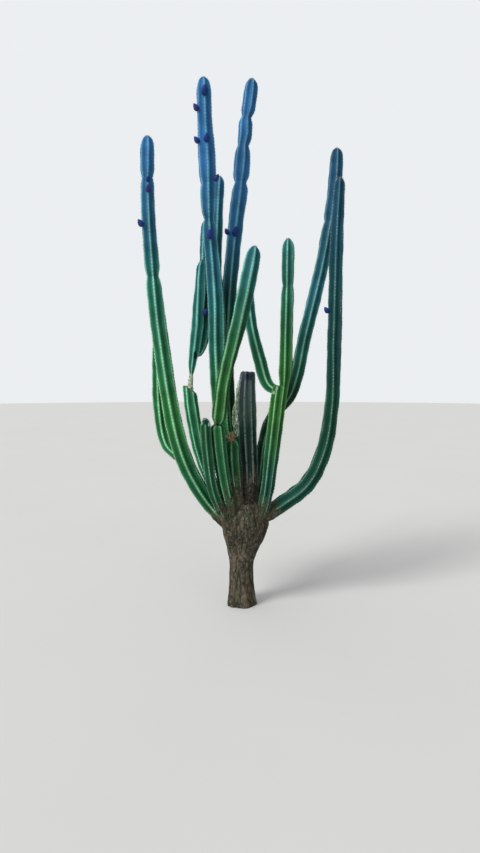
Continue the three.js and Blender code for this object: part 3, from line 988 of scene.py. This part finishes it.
def build_trunk(trunk, grown_from, bark):
    """The trunk and the feet of the arms as one skin, with fissured bark and a flat cut at the ground."""
    along = np.linspace(0, trunk.length, TRUNK_RINGS)
    place, radius = trunk.read(trunk.places, along), np.interp(along, trunk.lengths, trunk.radii)
    turn = turns(TRUNK_SIDES)
    lobes = 1 + TRUNK_LOBE_DEPTH * np.cos(TRUNK_LOBES * turn)
    ring = around(RIGHT, TRUNK_DEPTH * AWAY, turn) * lobes[:, None]
    points = place[:, None] + ring * radius[:, None, None]
    points[0, :, 2] = -TRUNK_BELOW
    shapes = [tube(points, place[0] - TRUNK_BELOW * UP, place[-1] + TRUNK_TOP_RISE * UP)]
    for stem in grown_from:
        stub = np.linspace(0, stem.exit + STUB_REACH, STUB_RINGS)
        place, _, _, _, crest = stem.at(stub)
        shapes.append(tube_shape(place, crest * np.interp(stub / stub[-1], *STUB_WIDTH), STUB_SIDES))
    piece = add_mesh("trunk_bark", *joined(shapes), [bark])
    merge = piece.modifiers.new("merge", "REMESH")
    merge.mode = "VOXEL"
    merge.voxel_size = BARK_VOXEL
    soften = piece.modifiers.new("soften", "SMOOTH")
    soften.factor = 0.5
    soften.iterations = BARK_SOFTENING
    merged = bpy.data.meshes.new_from_object(piece.evaluated_get(bpy.context.evaluated_depsgraph_get()))
    piece.modifiers.clear()
    piece.data = merged
    carve_bark(merged)
    cut_at_ground(merged)
    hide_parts("trunk")
    return piece


def read_vectors(vectors, key):
    """Three numbers for each point of a mesh."""
    values = np.empty(len(vectors) * 3, np.float32)
    vectors.foreach_get(key, values)
    return values.reshape(-1, 3).astype(float)


def carve_bark(mesh):
    """Pushes fissures and corky plates into the bark, and marks the fissures for its colour."""
    places = read_vectors(mesh.vertices, "co")
    normals = read_vectors(mesh.vertex_normals, "vector")
    plates = np.array([noise.fractal(Vector(place), *PLATE_NOISE) for place in places * PLATE_SCALE])
    shifted = places * FISSURE_SCALE + 3 * UP
    lines = np.array([noise.fractal(Vector(place), *FISSURE_NOISE) for place in shifted])
    rings = np.array([noise.noise(Vector(place)) for place in places * RING_SCALE + 5 * RIGHT])
    crack, ring_crack = (np.clip(1 - np.abs(values) / FISSURE_WIDTH, 0, 1) for values in (lines, rings))
    ring_crack *= smooth_step(*RING_CRACKS_FROM, places[:, 2])
    relief = BARK_RELIEF * plates - FISSURE_DEPTH * (crack + RING_CRACK_DEPTH * ring_crack)
    places += normals * relief[:, None]
    mesh.vertices.foreach_set("co", places.ravel())
    aside = np.hypot(places[:, 0] - CROWN_MIDDLE, places[:, 1])
    green = smooth_step(*BARK_GREEN_FROM, places[:, 2]) * smooth_step(*BARK_GREEN_ASIDE, aside)
    write_attribute(mesh, "crack", np.maximum(crack, RING_CRACK_SHADE * ring_crack))
    write_attribute(mesh, "green", green)
    mesh.polygons.foreach_set("use_smooth", np.full(len(mesh.polygons), True))
    mesh.update()


def cut_at_ground(mesh):
    """Cuts the mesh flat at the ground and closes it there."""
    cut = bmesh.new()
    cut.from_mesh(mesh)
    whole = [*cut.verts, *cut.edges, *cut.faces]
    made = bmesh.ops.bisect_plane(cut, geom=whole, plane_co=(0, 0, 0), plane_no=(0, 0, 1), clear_inner=True)
    rim = [edge for edge in made["geom_cut"] if isinstance(edge, bmesh.types.BMEdge)]
    bmesh.ops.contextual_create(cut, geom=rim)
    for vertex in cut.verts:
        vertex.co.z = max(vertex.co.z, 0.0)
    cut.to_mesh(mesh)
    cut.free()


class Look:
    """A material whose nodes are added one by one. Patterns lie in the object's own space, in metres."""

    def __init__(self, name, roughness, shine):
        self.material = bpy.data.materials.new(name)
        self.material.use_nodes = True
        self.tree = self.material.node_tree
        self.shader = self.tree.nodes["Principled BSDF"]
        self.shader.inputs["Specular IOR Level"].default_value = shine
        self.feed(self.shader.inputs["Roughness"], roughness)

    def feed(self, socket, value):
        """Gives a socket a value, or links it to another node's."""
        if isinstance(value, bpy.types.NodeSocket):
            self.tree.links.new(value, socket)
        elif socket.type == "RGBA":
            socket.default_value = (*value, 1)
        else:
            socket.default_value = value

    def add(self, kind, inputs, output=0, **settings):
        """Adds a node and returns one of its outputs."""
        node = self.tree.nodes.new("ShaderNode" + kind)
        for key, value in settings.items():
            setattr(node, key, value)
        for key, value in inputs.items():
            self.feed(node.inputs[key], value)
        return node.outputs[output]

    def attribute(self, name):
        return self.add("Attribute", {}, "Fac", attribute_name=name)

    def place(self, stretch=(1, 1, 1)):
        own = self.add("TexCoord", {}, "Object")
        return self.add("Mapping", {"Vector": own, "Scale": stretch})

    def noise(self, scale, detail, stretch=(1, 1, 1)):
        inputs = {"Vector": self.place(stretch), "Scale": scale, "Detail": detail}
        return self.add("TexNoise", inputs, "Fac")

    def range(self, value, low, high, to_low=0.0, to_high=1.0):
        inputs = {0: value, 1: low, 2: high, 3: to_low, 4: to_high}
        return self.add("MapRange", inputs, interpolation_type="SMOOTHSTEP")

    def patches(self, scale, detail, low, high, to_low=0.0, to_high=1.0, stretch=(1, 1, 1)):
        """Noise with its values from low to high spread over a range."""
        return self.range(self.noise(scale, detail, stretch), low, high, to_low, to_high)

    def math(self, operation, first, second=0.0):
        return self.add("Math", {0: first, 1: second}, operation=operation)

    def times(self, first, second):
        return self.math("MULTIPLY", first, second)

    def plus(self, first, second):
        return self.math("ADD", first, second)

    def mix(self, share, first, second, blend="MIX"):
        return self.add("Mix", {0: share, 6: first, 7: second}, 2, data_type="RGBA", blend_type=blend)

    def shaded(self, colour, tone):
        grey = self.add("CombineColor", {0: tone, 1: tone, 2: tone})
        return self.mix(1.0, colour, grey, "MULTIPLY")

    def ramp(self, value, stops):
        node = self.tree.nodes.new("ShaderNodeValToRGB")
        elements = node.color_ramp.elements
        while len(elements) < len(stops):
            elements.new(0.5)
        for element, (position, colour) in zip(elements, stops):
            element.position = position
            element.color = (*colour, 1)
        self.feed(node.inputs["Fac"], value)
        return node.outputs["Color"]

    def colour(self, value):
        self.feed(self.shader.inputs["Base Color"], value)

    def relief(self, height, distance):
        bump = self.add("Bump", {"Height": height, "Distance": distance, "Strength": 1.0})
        self.feed(self.shader.inputs["Normal"], bump)


def skin_look():
    """Waxy green to blue skin with pale crests, a faint bloom and corky feet and scars, with painted shade
    in its grooves and hollows and painted light and shade by height.
    """
    look = Look("cactus_skin", roughness=0.6, shine=0.09)
    hue = look.attribute("hue")
    across = look.attribute("across")
    bloom = look.patches(31, 6, 0.50, 0.72, 0.0, 0.30)
    colour = look.mix(bloom, look.ramp(hue, SKIN_COLOURS), look.ramp(hue, BLOOM_COLOURS))
    # Painted shade: the grooves are painted darker.
    groove = look.range(across, 0.35, 0.80, 0.0, 0.62)
    colour = look.mix(groove, colour, look.ramp(hue, GROOVE_SHADE_COLOURS))
    worn = look.patches(120, 3, 0.35, 0.65, 0.66, 1.0)
    crest = look.times(look.range(look.attribute("crest"), 0.07, 0.62), worn)
    colour = look.mix(crest, colour, look.ramp(hue, CREST_COLOURS))
    # Random tone, times the painted light and shade that each limb gives by height.
    tone = look.times(look.patches(9, 5, 0.3, 0.7, 0.80, 1.18), look.attribute("tone"))
    colour = look.shaded(colour, tone)
    speck = look.times(look.patches(55, 2, 0.69, 0.75), look.range(hue, 0.75, 0.15))
    old = look.math("MAXIMUM", look.attribute("cork"), look.times(speck, 0.6))
    edge = look.patches(60, 4, 0.3, 0.7, -0.25, 0.25)
    corky = look.range(look.plus(old, edge), 0.28, 0.75)
    rusty = look.times(look.attribute("rust"), look.patches(75, 5, 0.30, 0.56))
    tan = look.mix(rusty, look.ramp(look.noise(42, 6), CORK_COLOURS), RUST_COLOUR)
    tan = look.mix(look.attribute("scar"), look.ramp(look.noise(34, 6), BARK_COLOURS), tan)
    colour = look.mix(corky, colour, tan)
    pale = look.range(look.plus(look.attribute("pale"), edge), 0.25, 0.6)
    colour = look.mix(pale, colour, PALE_COLOUR)
    # Painted shade in the hollows.
    dark = look.range(look.plus(look.attribute("dark"), look.times(edge, 0.4)), 0.3, 0.6)
    look.colour(look.mix(dark, colour, HOLLOW_SHADE_COLOUR))
    look.feed(look.shader.inputs["Roughness"], look.range(corky, 0, 1, 0.56, 0.92))
    # Low waves run aslant from areole to areole, and corky skin is rough.
    wave = look.times(look.plus(look.attribute("beat"), look.times(across, 0.55)), 2 * math.pi)
    height = look.plus(look.times(look.math("SINE", wave), 0.16), look.times(look.noise(160, 3), 0.5))
    rough = look.times(look.times(look.noise(210, 6), corky), 2.2)
    look.relief(look.plus(height, rough), 0.0012)
    return look.material


def dead_look():
    """The dull dry skin of the dead column, with pale worn crests, fine fibres along it, and painted shade
    darkening its foot.
    """
    look = Look("dead_skin", roughness=0.86, shine=0.08)
    height = look.add("SeparateXYZ", {"Vector": look.place()}, "Z")
    shift = look.patches(9, 5, 0.2, 0.8, -0.16, 0.12, stretch=(1, 1, 0.35))
    share = look.plus(look.range(height, DEAD_FROM, DEAD_TO), shift)
    shoulder = look.range(look.attribute("across"), 0.62, 0.10, 0.0, 0.55)
    # Its own colours by height, with painted shade near black at the foot.
    colour = look.mix(shoulder, look.ramp(share, DEAD_COLOURS_AND_SHADE), DEAD_SHOULDER)
    fibres = look.patches(150, 3, 0.40, 0.70, 0.0, 0.60, stretch=(1, 1, 0.06))
    fibres = look.times(fibres, look.range(share, 0.45, 0.75, 0.25, 1.0))
    colour = look.mix(fibres, colour, DEAD_FIBRE)
    crest = look.times(look.range(look.attribute("crest"), 0.0, 0.8), look.patches(36, 4, 0.3, 0.55))
    colour = look.mix(crest, colour, DEAD_CREST)
    scar = look.range(look.attribute("cork"), 0.3, 0.8)
    colour = look.mix(scar, colour, look.ramp(look.noise(40, 5), DEAD_TOP))
    look.colour(look.mix(look.range(look.attribute("dark"), 0.03, 0.97), colour, DEAD_HOLLOW))
    look.relief(look.plus(look.noise(170, 5, (1, 1, 0.08)), look.times(look.noise(45, 5), 0.8)), 0.0028)
    return look.material


def bark_look():
    """Grey-brown corky bark with dark fissures and a green cast where the arms begin."""
    look = Look("trunk_bark", roughness=0.93, shine=0.2)
    colour = look.ramp(look.noise(14, 7, (1, 1, 0.4)), BARK_COLOURS)
    colour = look.mix(look.patches(38, 5, 0.48, 0.68, 0.0, 0.65), colour, BARK_GREY)
    green = look.times(look.attribute("green"), look.patches(20, 5, 0.30, 0.62))
    colour = look.mix(green, colour, BARK_GREEN)
    furrow = look.math("ABSOLUTE", look.math("SUBTRACT", look.noise(26, 6, (1, 1, 0.28)), 0.5))
    furrow = look.range(furrow, 0.0, 0.045, 1.0, 0.0)
    dark = look.math("MAXIMUM", look.times(furrow, 0.8), look.attribute("crack"))
    look.colour(look.mix(look.times(dark, 0.8), colour, BARK_DARK))
    look.relief(look.math("SUBTRACT", look.noise(95, 7), look.times(furrow, 0.7)), 0.0055)
    return look.material


def plain_looks(name, colours, roughness, shine):
    """Even colours for pieces too small to show a pattern. They vary by which colour each one wears."""
    looks = []
    for index, colour in enumerate(colours):
        look = Look(f"{name}_{index}", roughness, shine)
        look.colour(colour)
        looks.append(look.material)
    return looks


def callus_look(name, stops, relief):
    """Healed corky tissue, mottled and pitted."""
    look = Look(name, roughness=0.9, shine=0.15)
    inputs = {"Vector": look.place(), "Scale": 120}
    edges = look.add("TexVoronoi", inputs, "Distance", feature="DISTANCE_TO_EDGE")
    pits = look.range(edges, 0.0, 0.10, 0.55, 0.0)
    pit_colour = tuple(PIT_SHADE * value for value in stops[0][1])
    look.colour(look.mix(pits, look.ramp(look.noise(70, 6), stops), pit_colour))
    look.relief(look.math("SUBTRACT", look.noise(130, 6), pits), relief)
    return look.material


def floor_look():
    look = Look("studio_floor", roughness=0.9, shine=0.1)
    look.colour(look.shaded(FLOOR_COLOUR, look.patches(0.7, 4, 0.3, 0.7, 0.985, 1.0)))
    return look.material


def backdrop_look():
    """An even pale tone that glows by itself, because the wall takes no light."""
    look = Look("studio_backdrop", roughness=1.0, shine=0.0)
    look.colour((0, 0, 0))
    look.feed(look.shader.inputs["Emission Color"], BACKDROP_COLOUR)
    look.feed(look.shader.inputs["Emission Strength"], 1.0)
    return look.material


def add_neck(callus):
    """The pale corky neck that joins the broken left stump to what grew from it."""
    stem = stems["regrowth_left_outer"]
    share = np.linspace(0, 1, NECK_RINGS)
    heights = np.linspace(*NECK_HEIGHTS, NECK_RINGS)
    place = stem.read(stem.places, stem.along_at(heights))
    place[:, 0] -= NECK_LEAN * (1 - share)
    place[:, 2] = heights
    neck = tube_shape(place, np.interp(share, *NECK_WIDTH), sides=30, lumps=NECK_LUMPS, seed=21)
    return add_mesh("left_regrowth_neck", *neck, [callus])


def add_net(dried):
    """The torn strip of dry, net-like fibres that hangs from the left edge of the dead column."""
    column = stems["column_dead"]
    shapes = []
    for index in range(NET_STRANDS):
        first = (index + 0.5) / NET_STRANDS
        torn = NET_TORN * rng.uniform(0, 1) ** 2 * (first > NET_WHOLE)
        heights = np.linspace(NET_FOOT, NET_TOP - torn, NET_POINTS)
        cycles = rng.uniform(*NET_CYCLES)
        wave = heights / (NET_TOP - NET_FOOT) * cycles + rng.uniform(0, 1)
        share = np.clip(first + NET_WANDER * np.sin(2 * math.pi * wave), 0, 1)
        on_rim = index >= NET_STRANDS - len(NET_RIM_SHARES)
        if on_rim:
            share = np.full(NET_POINTS, NET_RIM_SHARES[index % len(NET_RIM_SHARES)])
        line, _, _, _, crest = column.at(column.along_at(heights))
        near = line[:, 0] - NET_ROOT * crest
        line[:, 0] = near + (np.interp(heights, *zip(*NET_EDGE)) - near) * share
        line[:, 1] -= NET_FRONT + NET_SLOPE * share + NET_WAVE * np.sin(NET_WAVE_SPEED * heights + index)
        thick = NET_RIM if on_rim else rng.uniform(*NET_THICKNESS)
        shapes.append(tube_shape(line, np.full(NET_POINTS, thick), sides=5, lumps=NET_LUMPS, seed=index))
    return add_mesh("column_dead_fibres", *joined(shapes), [dried])


def add_floor(size, height):
    corners = [(x * size, y * size, height) for x, y in ((-1, -1), (1, -1), (1, 1), (-1, 1))]
    return add_mesh("studio_floor", corners, [(0, 1, 2, 3)], [floor_look()], smooth=False)


def add_backdrop(radius, height, sides):
    """A round wall that only the camera sees, so that the light comes in as if it weren't there."""
    low = around(RIGHT, AWAY, turns(sides)) * radius
    points = np.vstack([low, low + height * UP])
    wall = add_mesh("studio_backdrop", points, band(0, sides), [backdrop_look()])
    for kind in ("diffuse", "glossy", "transmission", "volume_scatter", "shadow"):
        setattr(wall, "visible_" + kind, False)
    return wall


def add_sun(name, strength, wide, turn, rise):
    """A far light, seen turn degrees right of the front and rise degrees up."""
    light = bpy.data.lights.new(name, "SUN")
    light.energy = strength
    light.angle = math.radians(wide)
    lamp = bpy.data.objects.new(name, light)
    level = around(-AWAY, RIGHT, math.radians(turn))
    towards = Vector(around(level, UP, math.radians(rise)))
    lamp.rotation_euler = towards.to_track_quat("Z", "Y").to_euler()
    bpy.context.scene.collection.objects.link(lamp)


def studio_world():
    """Soft light from all round, strongest from the left and above."""
    world = bpy.data.worlds.new("studio")
    world.use_nodes = True
    nodes, links = world.node_tree.nodes, world.node_tree.links
    towards = nodes.new("ShaderNodeTexCoord")
    facing = nodes.new("ShaderNodeVectorMath")
    facing.operation = "DOT_PRODUCT"
    facing.inputs[1].default_value = Vector(SOFT_LIGHT_FROM).normalized()
    strength = nodes.new("ShaderNodeMapRange")
    for index, value in enumerate((-1, 1, *SOFT_LIGHT), start=1):
        strength.inputs[index].default_value = value
    links.new(towards.outputs["Generated"], facing.inputs[0])
    links.new(facing.outputs["Value"], strength.inputs[0])
    links.new(strength.outputs[0], nodes["Background"].inputs["Strength"])
    nodes["Background"].inputs["Color"].default_value = (*SOFT_LIGHT_COLOUR, 1)
    return world


def place_piece(piece):
    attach(piece, "root")


trunk = Stem(TRUNK)
stems = {limb.name: Stem(limb) for limb in LIMBS}
parents = [trunk]
for stem in stems.values():
    inside = buried(stem.places, parents, share=1.0)
    stem.exit = float(stem.lengths[np.argmin(inside)])
    parents.append(stem)

living, dead = skin_look(), dead_look()
for name, stem in stems.items():
    skin, slot = (dead, "dead_skin") if name == "column_dead" else (living, "skin")
    place_piece(build_stem(stem, skin))
rooted = [stem for stem in stems.values() if stem.limb.knots[0][2] < ROOTED_BELOW]
place_piece(build_trunk(trunk, rooted, bark_look()))

spine_looks = plain_looks("spine", SPINE_COLOURS, roughness=0.6, shine=0.3)
felt_looks = plain_looks("areole_felt", FELT_COLOURS, roughness=0.95, shine=0.1)
for group, words in GROUPS.items():
    chosen = [stem for name, stem in stems.items() if any(word in name for word in words)]
    areoles = Areoles(chosen, stems.values())
    place_piece(add_spines("spines_" + group, areoles, spine_looks))
    place_piece(add_pads("areoles_" + group, areoles, felt_looks))
growing = [stem for stem in stems.values() if stem.growing]
wool_looks = plain_looks("tip_wool", WOOL_COLOURS, roughness=0.95, shine=0.1)
bud_looks = plain_looks("bud", BUD_COLOURS, roughness=0.5, shine=0.15)
place_piece(add_wool("tip_wool", growing, wool_looks))
place_piece(add_buds(stems, bud_looks))
place_piece(add_neck(callus_look("neck_callus", NECK_COLOURS, relief=0.0025)))
place_piece(add_net(callus_look("dried_fibre", DRIED_COLOURS, relief=0.0015)))

add_floor(size=40, height=-0.0005)
add_backdrop(radius=38, height=60, sides=128)

scene = bpy.context.scene
scene.world = studio_world()
add_sun("key", strength=2.0, wide=20, turn=-50, rise=42)
scene.view_settings.view_transform = "Standard"

camera = bpy.data.cameras.new("camera")
camera.lens = CAMERA_LENS
camera.sensor_width = CAMERA_FRAME
camera.sensor_fit = "AUTO"
viewer = bpy.data.objects.new("camera", camera)
viewer.location = CAMERA_PLACE
viewer.rotation_euler = (math.pi / 2 - CAMERA_PITCH, 0, 0)
scene.collection.objects.link(viewer)
scene.camera = viewer
